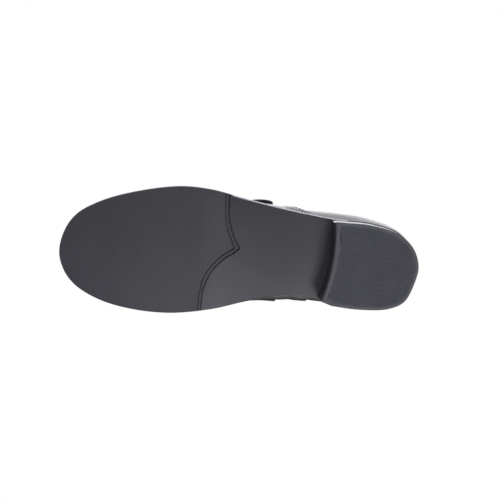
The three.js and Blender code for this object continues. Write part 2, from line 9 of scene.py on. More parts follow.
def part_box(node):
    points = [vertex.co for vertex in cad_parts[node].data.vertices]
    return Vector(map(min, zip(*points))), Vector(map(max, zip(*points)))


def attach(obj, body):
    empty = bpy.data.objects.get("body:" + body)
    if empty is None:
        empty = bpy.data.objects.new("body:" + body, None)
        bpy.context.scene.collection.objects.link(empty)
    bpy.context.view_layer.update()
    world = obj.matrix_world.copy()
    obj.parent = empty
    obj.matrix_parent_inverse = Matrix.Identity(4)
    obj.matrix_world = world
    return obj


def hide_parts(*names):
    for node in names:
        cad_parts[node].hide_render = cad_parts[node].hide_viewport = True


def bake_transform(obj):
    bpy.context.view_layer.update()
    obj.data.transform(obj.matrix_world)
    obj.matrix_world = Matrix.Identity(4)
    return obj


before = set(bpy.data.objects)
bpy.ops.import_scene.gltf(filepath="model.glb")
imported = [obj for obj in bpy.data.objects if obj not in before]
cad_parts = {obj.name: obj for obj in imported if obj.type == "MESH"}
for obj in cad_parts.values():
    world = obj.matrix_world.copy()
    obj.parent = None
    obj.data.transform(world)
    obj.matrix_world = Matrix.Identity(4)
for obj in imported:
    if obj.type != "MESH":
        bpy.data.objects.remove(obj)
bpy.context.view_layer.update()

# The shoe's own sizes, in millimetres; toe at x = 0, outer side at -y
shoe = {
    "heel": 22, "topPiece": 5, "spring": 9, "springEnd": 62, "waistStart": 98, "seatStart": 182,
    "outsole": 4, "leather": 1.3, "stiffener": 0.9, "lining": 0.8, "board": 2.2, "sock": 1.2,
    "cushion": 2.5, "margin": 12, "lap": 7, "binding": 0.7, "bindingLeg": 5, "gap": 0.3,
    "seamOuter": 0.34, "seamInner": 0.664, "liningOuter": 0.235, "liningInner": 0.765,
    "seamBack": 4, "seamForward": 7, "leanHeight": 0.4, "leanReach": 0.09,
}
soleLow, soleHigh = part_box("outsole")
outlineShares = [
    (0, 0), (0.014, -0.175), (0.048, -0.31), (0.111, -0.415), (0.202, -0.498), (0.333, -0.557),
    (0.421, -0.539), (0.508, -0.477), (0.623, -0.399), (0.766, -0.325), (0.865, -0.304),
    (0.944, -0.237), (0.984, -0.13), (1, 0.011), (0.992, 0.135), (0.964, 0.299), (0.921, 0.361),
    (0.841, 0.375), (0.754, 0.349), (0.679, 0.311), (0.623, 0.3), (0.52, 0.346), (0.433, 0.402),
    (0.317, 0.443), (0.21, 0.423), (0.119, 0.361), (0.05, 0.259), (0.016, 0.15),
]
# place along the edge; topline x, y, height; inset of the foot; rise, bulge, reach, flare, drop
upperRows = [
    (0, 0.365, -0.045, 43, 2.5, 24, -0.5, 0.6, 0, 11.5),
    (0.04, 0.368, -0.12, 43, 2.5, 23, 0.5, 0.6, 0, 11.5),
    (0.08, 0.381, -0.19, 42.5, 2.5, 21.5, 1.5, 0.58, 0, 12),
    (0.14, 0.413, -0.28, 41, 2.5, 18.5, 3, 0.53, 0, 12.5),
    (0.2, 0.468, -0.335, 38, 2.5, 16, 4, 0.5, 0, 13), (0.27, 0.548, -0.35, 42, 2.2, 16, 3.2, 0.45, 0, 13),
    (0.3, 0.602, -0.345, 41, 2.1, 16, 5.9, 0.4, 1.2, 13),
    (0.33, 0.659, -0.333, 40, 2, 16, 6.0, 0.3, 3, 13), (0.38, 0.762, -0.3, 41, 1, 19, 7.5, 0, 5.5, 14),
    (0.43, 0.873, -0.255, 46, 1, 20, 5.5, 0, 4.5, 16), (0.47, 0.938, -0.145, 56, 1, 21, 5, 0.2, 4, 19),
    (0.5, 0.964, 0.023, 60, 1, 22, 5, 0.3, 2.5, 20), (0.53, 0.941, 0.18, 56, 1, 21, 5, 0.2, 4, 19),
    (0.57, 0.876, 0.285, 46, 1, 20, 5, 0, 4, 16), (0.62, 0.765, 0.31, 39, 1.2, 18, 5, 0, 3.5, 14),
    (0.67, 0.659, 0.29, 39.5, 1.5, 16, 10, 0.2, 3.4, 13),
    (0.7, 0.604, 0.294, 41, 1.7, 16, 13.7, 0.3, 2.5, 13),
    (0.73, 0.548, 0.305, 42, 1.8, 16, 8.3, 0.4, 0.5, 13), (0.8, 0.468, 0.245, 39, 2.5, 16, 4, 0.5, 0, 13),
    (0.86, 0.413, 0.18, 41.5, 2.5, 18.5, 2.5, 0.53, 0, 12.5),
    (0.92, 0.381, 0.095, 42.5, 2.5, 21.5, 1.5, 0.58, 0, 12),
    (0.96, 0.368, 0.03, 43, 2.5, 23, 0.5, 0.6, 0, 11.5),
]


def ease(value, low, high):
    x = min(max((value - low) / (high - low), 0), 1)
    return x * x * (3 - 2 * x)


def mix(a, b, share):
    return a + (b - a) * share


# ---- the last: the same lines that the frame's solids follow

def closedCurve(points, perSpan=80):
    table = []
    count = len(points)
    for i in range(count):
        p0, p1, p2, p3 = (points[(i + k - 1) % count] for k in range(4))
        d0, d1, d2 = ((b - a).length ** 0.5 for a, b in ((p0, p1), (p1, p2), (p2, p3)))
        t1 = ((p1 - p0) / d0 - (p2 - p0) / (d0 + d1) + (p2 - p1) / d1) * d1
        t2 = ((p2 - p1) / d1 - (p3 - p1) / (d1 + d2) + (p3 - p2) / d2) * d1
        for k in range(perSpan):
            u = k / perSpan
            table.append(p1 + t1 * u + (3 * (p2 - p1) - 2 * t1 - t2) * u * u
                         + (2 * (p1 - p2) + t1 + t2) * u ** 3)
    return table


soleLength = (soleHigh[0] - soleLow[0]) * 1000
lengthPerWidth = 2.84
unitWidths = [p.y for p in closedCurve([Vector((x * lengthPerWidth, y, 0)) for x, y in outlineShares])]
ballWidth = (soleHigh[1] - soleLow[1]) * 1000 / (max(unitWidths) - min(unitWidths))
outlineTable = closedCurve([Vector((x * soleLength, y * ballWidth, 0)) for x, y in outlineShares])
outlineTable.append(outlineTable[0])
walked = [0]
for previous, current in zip(outlineTable, outlineTable[1:]):
    walked.append(walked[-1] + (current - previous).length)
perimeter = walked[-1]
shift = Vector((soleLow[0] * 1000, soleLow[1] * 1000 - min(p.y for p in outlineTable), 0))


def toFrame(point):
    return (point + shift) / 1000


def edgeAt(s):
    far = (s % 1) * perimeter
    k = min(bisect.bisect_right(walked, far), len(walked) - 1) - 1
    return outlineTable[k].lerp(outlineTable[k + 1], (far - walked[k]) / (walked[k + 1] - walked[k]))


@functools.lru_cache(None)
def outwardAt(s):
    tangent = edgeAt(s + 0.002) - edgeAt(s - 0.002)
    return Vector((tangent.y, -tangent.x, 0)).normalized()


def edgeInset(s, inset):
    return edgeAt(s) - outwardAt(s) * inset


def baseHeight(x):
    back = max(0, (shoe["springEnd"] - x) / shoe["springEnd"])
    return shoe["spring"] * back * back + shoe["heel"] * ease(x, shoe["waistStart"], shoe["seatStart"])


@functools.lru_cache(None)
def upperShape(s):
    w = s % 1
    count = len(upperRows)
    row = lambda k: upperRows[k % count]
    at = lambda k: row(k)[0] + k // count
    k = count - 1
    while upperRows[k][0] > w:
        k -= 1
    span = at(k + 1) - at(k)
    u = (w - at(k)) / span
    values = []
    for c in range(1, 10):
        slope = lambda m: (row(m + 1)[c] - row(m - 1)[c]) / (at(m + 1) - at(m - 1))
        here, there = row(k)[c], row(k + 1)[c]
        a = 2 * (here - there) + span * (slope(k) + slope(k + 1))
        b = 3 * (there - here) - span * (2 * slope(k) + slope(k + 1))
        values.append(((a * u + b) * u + span * slope(k)) * u + here)
    return values


def footInset(s):
    return upperShape(s)[3]


marginLow = shoe["outsole"] + shoe["gap"]
boardLow = marginLow + shoe["leather"] + shoe["gap"]
sockLow = boardLow + shoe["board"] + shoe["gap"]
liningDepth = shoe["leather"] + shoe["stiffener"] + 2 * shoe["gap"]
wallDepth = liningDepth + shoe["lining"]


@functools.lru_cache(None)
def ribAt(s):
    tx, ty, height, inset, rise, bulge, reach, flare, drop = upperShape(s)
    foot = edgeInset(s, inset)
    foot.z = baseHeight(foot.x) + marginLow
    top = Vector((tx * soleLength, ty * ballWidth, baseHeight(tx * soleLength) + height))
    low = foot + outwardAt(s) * bulge + Vector((0, 0, rise))
    high = Vector((mix(top.x, foot.x, reach), mix(top.y, foot.y, reach), top.z - drop))
    return foot, low, high + outwardAt(s) * flare, top


# Near the outer side seam places move along the edge with height, so that the seam leans forwards
def leant(s, t):
    near = 1 - ease(abs(s % 1 - shoe["seamOuter"]), 0.02, shoe["leanReach"])
    lean = mix(shoe["seamBack"], -shoe["seamForward"], ease(t, 0, shoe["leanHeight"]))
    return s + near * lean / perimeter


def outerFace(s, t):
    foot, low, high, top = ribAt(round(leant(s, t), 6))
    r = 1 - t
    return foot * r ** 3 + low * 3 * r * r * t + high * 3 * r * t * t + top * t ** 3


def wallNormal(s, t):
    t = min(max(t, 0.004), 0.996)
    ds = outerFace(s + 0.004, t) - outerFace(s - 0.004, t)
    dt = outerFace(s, t + 0.004) - outerFace(s, t - 0.004)
    return ds.cross(dt).normalized()


def wallAt(s, t, depth):
    return outerFace(s, t) - wallNormal(s, t) * depth


# ---- modelling helpers

def only(piece):
    bpy.ops.object.select_all(action="DESELECT")
    piece.select_set(True)
    bpy.context.view_layer.objects.active = piece


# Edit mode on one piece, with all, none or the present part of it selected
@contextlib.contextmanager
def editing(piece, select="SELECT"):
    only(piece)
    bpy.ops.object.mode_set(mode="EDIT")
    if select:
        bpy.ops.mesh.select_all(action=select)
    yield
    bpy.ops.object.mode_set(mode="OBJECT")


def weld(piece):
    with editing(piece):
        bpy.ops.mesh.remove_doubles(threshold=1e-6)
        bpy.ops.mesh.normals_make_consistent(inside=False)


def faceOut(piece, flip=False):
    with editing(piece):
        if flip:
            bpy.ops.mesh.flip_normals()
        else:
            bpy.ops.mesh.normals_make_consistent(inside=False)


# Selects the one face that the key puts first
def pickFace(piece, key):
    with editing(piece, "DESELECT"):
        bpy.ops.mesh.select_mode(type="FACE")
    max(piece.data.polygons, key=key).select = True


def extrudeUp(height):
    bpy.ops.mesh.extrude_region_move(TRANSFORM_OT_translate={"value": (0, 0, height / 1000)})


def insideLoop(loop, x, y):
    inside = False
    for a, b in zip(loop, loop[1:] + loop[:1]):
        if (a.y > y) != (b.y > y) and x < a.x + (y - a.y) * (b.x - a.x) / (b.y - a.y):
            inside = not inside
    return inside


# A grid primitive whose points are put at place(column, row); its UV map is in metres
def shapedGrid(name, columns, rows, place, size=(1, 1)):
    bpy.ops.object.select_all(action="DESELECT")
    bpy.ops.mesh.primitive_grid_add(x_subdivisions=columns, y_subdivisions=rows, size=2)
    piece = bpy.context.object
    piece.name = piece.data.name = name
    for vertex in piece.data.vertices:
        i = round((vertex.co.x + 1) / 2 * columns)
        j = round((vertex.co.y + 1) / 2 * rows)
        vertex.co = toFrame(place(i, j))
    for corner in piece.data.uv_layers.active.data:
        corner.uv = (corner.uv[0] * size[0], corner.uv[1] * size[1])
    return piece


def modify(piece, kind, **settings):
    only(piece)
    modifier = piece.modifiers.new(kind.title(), kind)
    for key, value in settings.items():
        setattr(modifier, key, value)
    bpy.ops.object.modifier_apply(modifier=modifier.name)


def thicken(piece, thickness):
    modify(piece, "SOLIDIFY", thickness=thickness / 1000, offset=-1, use_even_offset=True,
           use_quality_normals=True)


def roundEdges(piece, width, segments=3, angle=40):
    modify(piece, "BEVEL", width=width / 1000, segments=segments, limit_method="ANGLE",
           angle_limit=math.radians(angle), harden_normals=False)


def smooth(piece, angle=35):
    only(piece)
    bpy.ops.object.shade_smooth_by_angle(angle=math.radians(angle))


def settle(piece, body, nodes, slot, material):
    only(piece)
    bpy.ops.object.transform_apply(location=True, rotation=True, scale=True)
    piece.data.materials.clear()
    piece.data.materials.append(material)
    if isinstance(body, str):
        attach(piece, body)
    else:
        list(body)
        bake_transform(piece)
    if nodes:
        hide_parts(*nodes)
    return piece


def outwardGuess(place):
    return Vector((place.x * 0.3, place.y, place.z - 0.02))


# An open grid becomes a sheet that grows inwards, or down, from the side it shows
def sheetPiece(piece, body, nodes, slot, material, thickness, edge, facing=None):
    middle = piece.data.polygons[len(piece.data.polygons) // 2]
    if middle.normal.dot(facing or outwardGuess(middle.center)) < 0:
        faceOut(piece, flip=True)
    thicken(piece, thickness)
    roundEdges(piece, edge, 2, 50)
    smooth(piece, 40)
    return settle(piece, body, nodes, slot, material)


# ---- shader helpers

class Value:
    def __init__(self, paint, socket):
        self.paint = paint
        self.socket = socket

    def maths(self, operation, first, second):
        return self.paint.node("ShaderNodeMath", {"operation": operation}, {0: first, 1: second})

    def __add__(self, other):
        return self.maths("ADD", self, other)

    def __sub__(self, other):
        return self.maths("SUBTRACT", self, other)

    def __rsub__(self, other):
        return self.maths("SUBTRACT", other, self)

    def __mul__(self, other):
        return self.maths("MULTIPLY", self, other)

    __radd__ = __add__
    __rmul__ = __mul__

    def sine(self):
        return self.paint.node("ShaderNodeMath", {"operation": "SINE"}, {0: self})

    def clamped(self, low, high):
        return self.paint.node("ShaderNodeMapRange", {"clamp": True},
                               {"Value": self, "From Min": low, "From Max": high})


class Nodes:
    def __init__(self, tree):
        self.tree = tree

    def node(self, kind, settings=None, sockets=None, output=0):
        node = self.tree.nodes.new(kind)
        for key, value in (settings or {}).items():
            if key == "stops":
                while len(node.color_ramp.elements) < len(value):
                    node.color_ramp.elements.new(0.5)
                for stop, (position, colour) in zip(node.color_ramp.elements, value):
                    stop.position = position
                    stop.color = (*colour, 1)
            else:
                setattr(node, key, value)
        for key, value in (sockets or {}).items():
            self.fill(node.inputs[key], value)
        return Value(self, node.outputs[output])

    def fill(self, socket, value):
        if isinstance(value, Value):
            self.tree.links.new(value.socket, socket)
        else:
            socket.default_value = value


class Paint(Nodes):
    def __init__(self, name, roughness, **sockets):
        self.material = bpy.data.materials.new(name)
        self.material.use_nodes = True
        super().__init__(self.material.node_tree)
        self.shader = self.tree.nodes["Principled BSDF"]
        self.put("Roughness", roughness)
        for key, value in sockets.items():
            self.put(key.replace("_", " "), value)
        self.point = self.node("ShaderNodeTexCoord", output="Object")

    def part(self, vector, axis):
        return self.node("ShaderNodeSeparateXYZ", None, {"Vector": vector}, axis)

    def put(self, name, value):
        self.fill(self.shader.inputs[name], value)

    def bump(self, height, strength, distance, under=None):
        sockets = {"Height": height, "Strength": strength, "Distance": distance}
        if under:
            sockets["Normal"] = under
        return self.node("ShaderNodeBump", None, sockets)


def noiseOf(paint, scale, detail=3, roughness=0.55):
    return paint.node("ShaderNodeTexNoise", {"normalize": True},
                      {"Vector": paint.point, "Scale": scale, "Detail": detail, "Roughness": roughness})


def cellsOf(paint, scale, feature="F1"):
    sockets = {"Vector": paint.point, "Scale": scale}
    if feature == "SMOOTH_F1":
        sockets["Smoothness"] = 0.5
    return paint.node("ShaderNodeTexVoronoi", {"feature": feature}, sockets)


def colourRamp(paint, value, *stops):
    return paint.node("ShaderNodeValToRGB", {"stops": stops}, {"Fac": value})


# ---- materials

leatherLook = {"dark": (0.010, 0.010, 0.011), "light": (0.024, 0.024, 0.026), "cells": 1500, "pores": 5200}


def leather(name, cells=1.0, roughness=0.42):
    paint = Paint(name, roughness, Coat_Roughness=0.35)
    patch = noiseOf(paint, 38, 4)
    grain = cellsOf(paint, leatherLook["cells"] * cells, "SMOOTH_F1")
    creases = cellsOf(paint, leatherLook["cells"] * 0.55 * cells, "DISTANCE_TO_EDGE").clamped(0, 0.12)
    pores = noiseOf(paint, leatherLook["pores"], 2)
    paint.put("Base Color", colourRamp(paint, patch * 0.6 + grain * 0.5,
                                       (0.2, leatherLook["dark"]), (0.8, leatherLook["light"])))
    paint.put("Roughness", roughness - 0.08 + patch * 0.12 + (1 - creases) * 0.1)
    paint.put("Coat Weight", 0.1 + patch * 0.1)
    height = grain * 0.5 + creases * 0.5 + pores * 0.12
    broad = paint.bump(noiseOf(paint, 90, 3), 0.25, 0.0006)
    paint.put("Normal", paint.bump(height, 0.35, 0.00012, broad))
    return paint.material


def solePaint(name, stipple, satin, depth, paintedLightLean):
    paint = Paint(name, satin, Specular_IOR_Level=0.4)
    side = paint.part(paint.point, "Y")
    clouds = noiseOf(paint, 22, 5, 0.6)
    fine = noiseOf(paint, 900, 3, 0.7)
    speck = cellsOf(paint, 1900).clamped(0.15, 0.6)
    # painted light: the sole is painted lighter towards the inner side, as if lit from there
    tone = (clouds * 0.55 + fine * 0.45 - 0.5) * 0.6 + side * paintedLightLean + 0.5
    paint.put("Base Color", colourRamp(paint, tone,
                                       (0.0, [c * depth for c in (0.016, 0.016, 0.019)]),
                                       (1.0, [c * depth for c in (0.094, 0.092, 0.108)])))
    paint.put("Roughness", satin - 0.06 + fine * 0.1 + clouds * 0.06)
    broad = paint.bump(noiseOf(paint, 150, 4, 0.65), 0.12, 0.0004)
    paint.put("Normal", paint.bump(speck * 0.6 + fine * 0.6, stipple, 0.00015, broad))
    return paint.material


# The lower arris of the waist, painted pale as a highlight that stands in for light catching its rounded edge
def arrisHighlightPaint(name):
    paint = Paint(name, 0.3)
    side = paint.part(paint.point, "Y")
    arrisNoise = noiseOf(paint, 260, 4, 0.6)
    # painted highlight: the arris is painted pale, brighter towards the outer side where the light falls
    tone = (arrisNoise - 0.5) * 0.5 + 0.5 - side * 18
    paint.put("Base Color", colourRamp(paint, tone, (0.15, (0.06, 0.06, 0.066)), (0.85, (0.34, 0.35, 0.37))))
    paint.put("Roughness", 0.26 + arrisNoise * 0.12)
    return paint.material


def rubberPaint(name):
    paint = Paint(name, 0.6)
    clouds = noiseOf(paint, 40, 4)
    fine = noiseOf(paint, 1400, 3, 0.7)
    paint.put("Base Color", colourRamp(paint, clouds * 0.6 + fine * 0.4,
                                       (0.3, (0.064, 0.066, 0.077)), (0.7, (0.088, 0.09, 0.104))))
    paint.put("Roughness", 0.5 + fine * 0.14 + clouds * 0.08)
    paint.put("Normal", paint.bump(fine, 0.25, 0.0001))
    return paint.material


def heelPaint(name):
    paint = Paint(name, 0.34, Coat_Roughness=0.25)
    clouds = noiseOf(paint, 30, 4)
    lifts = paint.part(paint.point, "Z")
    line = (lifts * 2400 + clouds * 3).sine()
    fine = noiseOf(paint, 1500, 2)
    paint.put("Base Color", colourRamp(paint, clouds,
                                       (0.3, (0.012, 0.012, 0.014)), (0.7, (0.024, 0.024, 0.027))))
    paint.put("Roughness", 0.3 + clouds * 0.12 + fine * 0.06)
    paint.put("Coat Weight", 0.2 + clouds * 0.15)
    paint.put("Normal", paint.bump(line * 0.15 + fine * 0.3, 0.2, 0.0001))
    return paint.material


def clothPaint(name, dark, light, pitch=0.0009):
    paint = Paint(name, 0.85, Sheen_Weight=0.25)
    uv = paint.node("ShaderNodeTexCoord", output="UV")
    turn = 2 * math.pi / pitch
    across = paint.part(uv, "X")
    along = paint.part(uv, "Y")
    wobble = noiseOf(paint, 300, 2) * 0.9
    warp = (across * turn + wobble).sine()
    weft = (along * turn + wobble).sine()
    twill = ((across + along) * (turn / 4)).sine()
    weave = warp * weft * 0.35 + twill * 0.15 + 0.5
    soft = noiseOf(paint, 60, 4)
    paint.put("Base Color", colourRamp(paint, weave * 0.6 + soft * 0.4, (0.25, dark), (0.75, light)))
    paint.put("Roughness", 0.8 + soft * 0.1)
    fuzz = noiseOf(paint, 4000, 2)
    paint.put("Normal", paint.bump(weave + fuzz * 0.3, 0.5, 0.00018))
    return paint.material


def plainPaint(name, dark, light, roughness, grain, metallic=0.0, bump=0.3, depth=0.0002):
    paint = Paint(name, roughness, Metallic=metallic)
    coarse = noiseOf(paint, grain, 4)
    fine = noiseOf(paint, grain * 8, 3, 0.65)
    paint.put("Base Color", colourRamp(paint, coarse * 0.5 + fine * 0.5, (0.3, dark), (0.7, light)))
    paint.put("Roughness", roughness - 0.08 + fine * 0.16)
    paint.put("Normal", paint.bump(fine * 0.6 + coarse * 0.4, bump, depth))
    return paint.material


upperLeather = leather("upperLeather")
bindingLeather = leather("bindingLeather", 1.3, 0.4)
strapLeather = leather("strapLeather", 1.1, 0.4)
# the last number of each sole paint sets its painted light: how much lighter it is painted towards the inner
# side
foreSole = solePaint("foreSole", 0.5, 0.55, 1.0, 2.5)
waistSole = solePaint("waistSole", 0.12, 0.5, 1.0, 8)
soleArrisHighlight = arrisHighlightPaint("soleArrisHighlight")
topRubber = rubberPaint("topRubber")
heelLacquer = heelPaint("heelLacquer")
liningCloth = clothPaint("liningCloth", (0.30, 0.25, 0.18), (0.46, 0.40, 0.31))
strapBacking = clothPaint("strapBacking", (0.02, 0.02, 0.022), (0.05, 0.05, 0.054), 0.0007)
sockLeather = plainPaint("sockLeather", (0.26, 0.20, 0.14), (0.36, 0.29, 0.21), 0.55, 160, bump=0.3)
threadPaint = plainPaint("threadPaint", (0.016, 0.016, 0.018), (0.045, 0.045, 0.05), 0.55, 900, bump=0.5)
paleThread = plainPaint("paleThread", (0.38, 0.33, 0.25), (0.5, 0.45, 0.36), 0.6, 900, bump=0.5)
tapePaint = plainPaint("tapePaint", (0.008, 0.008, 0.009), (0.03, 0.03, 0.032), 0.9, 800,
                       bump=0.9, depth=0.0004)
boardPaint = plainPaint("boardPaint", (0.42, 0.31, 0.19), (0.58, 0.46, 0.31), 0.88, 220)
stiffPaint = plainPaint("stiffPaint", (0.42, 0.37, 0.29), (0.58, 0.53, 0.44), 0.8, 260)
corkPaint = plainPaint("corkPaint", (0.22, 0.13, 0.07), (0.55, 0.38, 0.22), 0.92, 340, bump=0.9, depth=0.0006)
foamPaint = plainPaint("foamPaint", (0.58, 0.54, 0.44), (0.72, 0.68, 0.58), 0.92, 700, bump=0.6)
steelPaint = plainPaint("steelPaint", (0.34, 0.35, 0.37), (0.62, 0.63, 0.65), 0.35, 120, 1.0, 0.15)
print("materials made")

# ---- camera, light and floor, before the pieces

view = {"place": (0.00696, -0.0792, -0.88707), "tilt": 5.0, "roll": 1.9, "lens": 92.36}


def makeCamera():
    tilt, roll = math.radians(view["tilt"]), math.radians(view["roll"])
    down = Vector((0, math.cos(tilt), -math.sin(tilt)))
    forward = Vector((0, math.sin(tilt), math.cos(tilt)))
    right = Vector((1, 0, 0)) * math.cos(roll) - down * math.sin(roll)
    down = Vector((1, 0, 0)) * math.sin(roll) + down * math.cos(roll)
    data = bpy.data.cameras.new("camera")
    data.sensor_width = 36
    data.lens = view["lens"]
    data.clip_start = 0.01
    camera = bpy.data.objects.new("camera", data)
    bpy.context.scene.collection.objects.link(camera)
    turn = Matrix((right, -down, -forward)).transposed().to_4x4()
    camera.matrix_world = Matrix.Translation(view["place"]) @ turn
    bpy.context.scene.camera = camera


def softLight(name, place, aim, size, power):
    data = bpy.data.lights.new(name, "AREA")
    data.shape = "DISK"
    data.size = size
    data.energy = power
    lamp = bpy.data.objects.new(name, data)
    bpy.context.scene.collection.objects.link(lamp)
    lamp.location = place
    lamp.rotation_euler = (Vector(aim) - Vector(place)).to_track_quat("-Z", "Y").to_euler()


# place, aim, size and power of each lamp; the big ones stand beyond the floor's edge
lamps = {
    "sideLight": ((-0.5, -3.2, 1.2), (0, 0, 0.03), 2.2, 88),
    "underLight": ((0.3, 0.42, -0.75), (0.02, 0, 0), 0.3, 4),
    "topLight": ((0.1, -0.3, 1.5), (0, 0, 0), 1.0, 8),
    "fillLight": ((0.7, 3.2, 0.9), (0, 0, 0.03), 2.2, 26),
}
roomValues = {"bright": 1.3, "dim": 0.06, "below": 0.66, "backdrop": 1.0, "tint": (0.96, 0.98, 1.05)}


def makeRoom():
    world = bpy.data.worlds.new("paleRoom")
    bpy.context.scene.world = world
    world.use_nodes = True
    room = Nodes(world.node_tree)
    ground = room.tree.nodes["Background"]
    ground.inputs["Strength"].default_value = 1
    # brighter on the outer side of the shoe, dimmer behind the inner side and from below
    direction = room.node("ShaderNodeTexCoord", output="Generated")
    side = room.node("ShaderNodeSeparateXYZ", None, {0: direction}, "Y")
    up = room.node("ShaderNodeSeparateXYZ", None, {0: direction}, "Z")
    fall = room.node("ShaderNodeMapRange", {"interpolation_type": "SMOOTHSTEP"},
                     {"Value": side, "From Min": -0.42, "From Max": 0.15,
                      "To Min": roomValues["bright"], "To Max": roomValues["dim"]})
    lift = room.node("ShaderNodeMapRange", None,
                     {"Value": up, "From Min": -0.8, "From Max": 0.1, "To Min": roomValues["below"]})
    tint = room.node("ShaderNodeVectorMath", {"operation": "SCALE"},
                     {0: roomValues["tint"], "Scale": fall * lift})
    seen = room.node("ShaderNodeLightPath", output="Is Camera Ray")
    colour = room.node("ShaderNodeMix", {"data_type": "VECTOR"},
                       {0: seen, 4: tint, 5: [roomValues["backdrop"]] * 3}, output=1)
    room.fill(ground.inputs["Color"], colour)
    bpy.context.scene.view_settings.view_transform = "Standard"


def makeStage():
    # The floor is seen from above only, so that the sole shows from below
    bpy.ops.object.select_all(action="DESELECT")
    bpy.ops.mesh.primitive_plane_add(size=6, location=(0, 0, -0.0004))
    floor = bpy.context.object
    floor.name = "floor"
    bpy.ops.object.transform_apply(location=True)
    material = bpy.data.materials.new("floorPaint")
    material.use_nodes = True
    nodes = Nodes(material.node_tree)
    shader = nodes.tree.nodes["Principled BSDF"]
    shader.inputs["Base Color"].default_value = (0.82, 0.82, 0.82, 1)
    shader.inputs["Roughness"].default_value = 0.6
    clear = nodes.node("ShaderNodeBsdfTransparent")
    behind = nodes.node("ShaderNodeNewGeometry", output="Backfacing")
    both = nodes.node("ShaderNodeMixShader", None, {0: behind, 1: Value(nodes, shader.outputs[0]), 2: clear})
    nodes.fill(nodes.tree.nodes["Material Output"].inputs[0], both)
    floor.data.materials.append(material)
    floor.visible_shadow = False
    floor.visible_diffuse = False
    floor.visible_glossy = False
    for name, (place, aim, size, power) in lamps.items():
        softLight(name, place, aim, size, power)


makeRoom()
makeCamera()
makeStage()
print("camera, light and floor made")

# ---- outsole

# the span and inset among these values place the painted highlight on the waist's lower arris
outsoleValues = {
    "columns": 210, "rows": 64, "arris": 0.8, "arrisSteps": 5, "highlightSpan": (0.48, 0.8),
    "highlightInset": 0.75, "grooveWidth": 1.1, "taper": 1.2, "border": 0.6,
    "crown": 1.5, "crownHalf": 27, "crownRise": (0.42, 0.6), "crownFall": (0.62, 0.76),
}
grooveDepths = {"frontOuter": 0.65, "rearOuter": 0.75, "frontInner": 0.9, "rearInner": 1.1}
# Each groove runs from its point in the middle of the waist out past the edge
grooves = {
    "frontOuter": [(0.4885, -0.081), (0.478, -0.148), (0.467, -0.237), (0.461, -0.357), (0.461, -0.56)],
    "rearOuter": [(0.5025, -0.079), (0.489, -0.148), (0.477, -0.238), (0.47, -0.358), (0.47, -0.55)],
    "frontInner": [(0.4885, -0.081), (0.461, -0.032), (0.442, 0.012), (0.424, 0.07), (0.41, 0.127),
                   (0.401, 0.188), (0.397, 0.249), (0.393, 0.309), (0.39, 0.45)],
    "rearInner": [(0.5025, -0.079), (0.484, -0.039), (0.466, -0.009), (0.446, 0.041), (0.431, 0.09),
                  (0.419, 0.145), (0.41, 0.205), (0.404, 0.26), (0.401, 0.339), (0.399, 0.45)],
}


def soleGrid(name, columns, rows, inset, height, start=0.0, arris=0.0):
    steps = outsoleValues["arrisSteps"] if arris else 0

    # how far in from the nearer edge a row lies; the first rows follow the rounded arris
    def inFrom(k, width):
        if k > steps:
            return mix(min(arris, width / 4), width / 2, (k - steps) / (rows / 2 - steps))
        return min(arris, width / 4) * (1 - math.cos(math.pi / 2 * k / max(steps, 1)))

    def place(i, j):
        s = mix(start, 0.5, i / columns)
        near, far = edgeInset(s, inset(s)), edgeInset(1 - s, inset(1 - s))
        width = (far - near).length
        if not arris or width < 0.01:
            point = near.lerp(far, j / rows)
            rise = arris
        else:
            depth = inFrom(min(j, rows - j), width)
            point = near.lerp(far, depth / width if j <= rows / 2 else 1 - depth / width)
            depth = min(depth, abs(point.x - edgeAt(0).x), abs(point.x - edgeAt(0.5).x), arris)
            rise = arris - math.sqrt(arris ** 2 - (arris - depth) ** 2)
        point.z = baseHeight(point.x) + height(point) + rise
        return point
    piece = shapedGrid(name, columns, rows, place, (soleLength / 1000, ballWidth / 1000))
    weld(piece)
    return piece


def openCurve(points, perSpan=12):
    padded = [points[0] * 2 - points[1], *points, points[-1] * 2 - points[-2]]
    table = []
    for p0, p1, p2, p3 in zip(padded, padded[1:], padded[2:], padded[3:]):
        for k in range(perSpan):
            u = k / perSpan
            table.append(0.5 * (2 * p1 + (p2 - p0) * u + (2 * p0 - 5 * p1 + 4 * p2 - p3) * u * u
                                + (3 * p1 - p0 - 3 * p2 + p3) * u ** 3))
    return table + [points[-1]]


def grooveCutter(name):
    line = openCurve([Vector((x * soleLength, y * ballWidth, 0)) for x, y in grooves[name]])
    profile = [(-1.6, -1.2), (-1.0, 0), (-0.55, 0.8), (0, 1), (0.55, 0.8), (1.0, 0), (1.6, -1.2)]
    steps = len(line) - 1

    def place(i, j):
        a, b = line[max(i - 1, 0)], line[min(i + 1, steps)]
        side = Vector((-(b - a).y, (b - a).x, 0)).normalized()
        across, up = profile[j % len(profile)]
        full = 0.6 + 0.4 * ease((line[i] - line[0]).length, 0, outsoleValues["taper"])
        point = line[i] + side * across * outsoleValues["grooveWidth"] / 2 * full
        point.z = baseHeight(point.x) + up * grooveDepths[name] * (full if up > 0 else 1)
        return point
    cutter = shapedGrid(name, steps, len(profile), place)
    weld(cutter)
    with editing(cutter, "DESELECT"):
        bpy.ops.mesh.select_non_manifold(extend=False)
        bpy.ops.mesh.fill_holes(sides=12)
    faceOut(cutter)
    return cutter


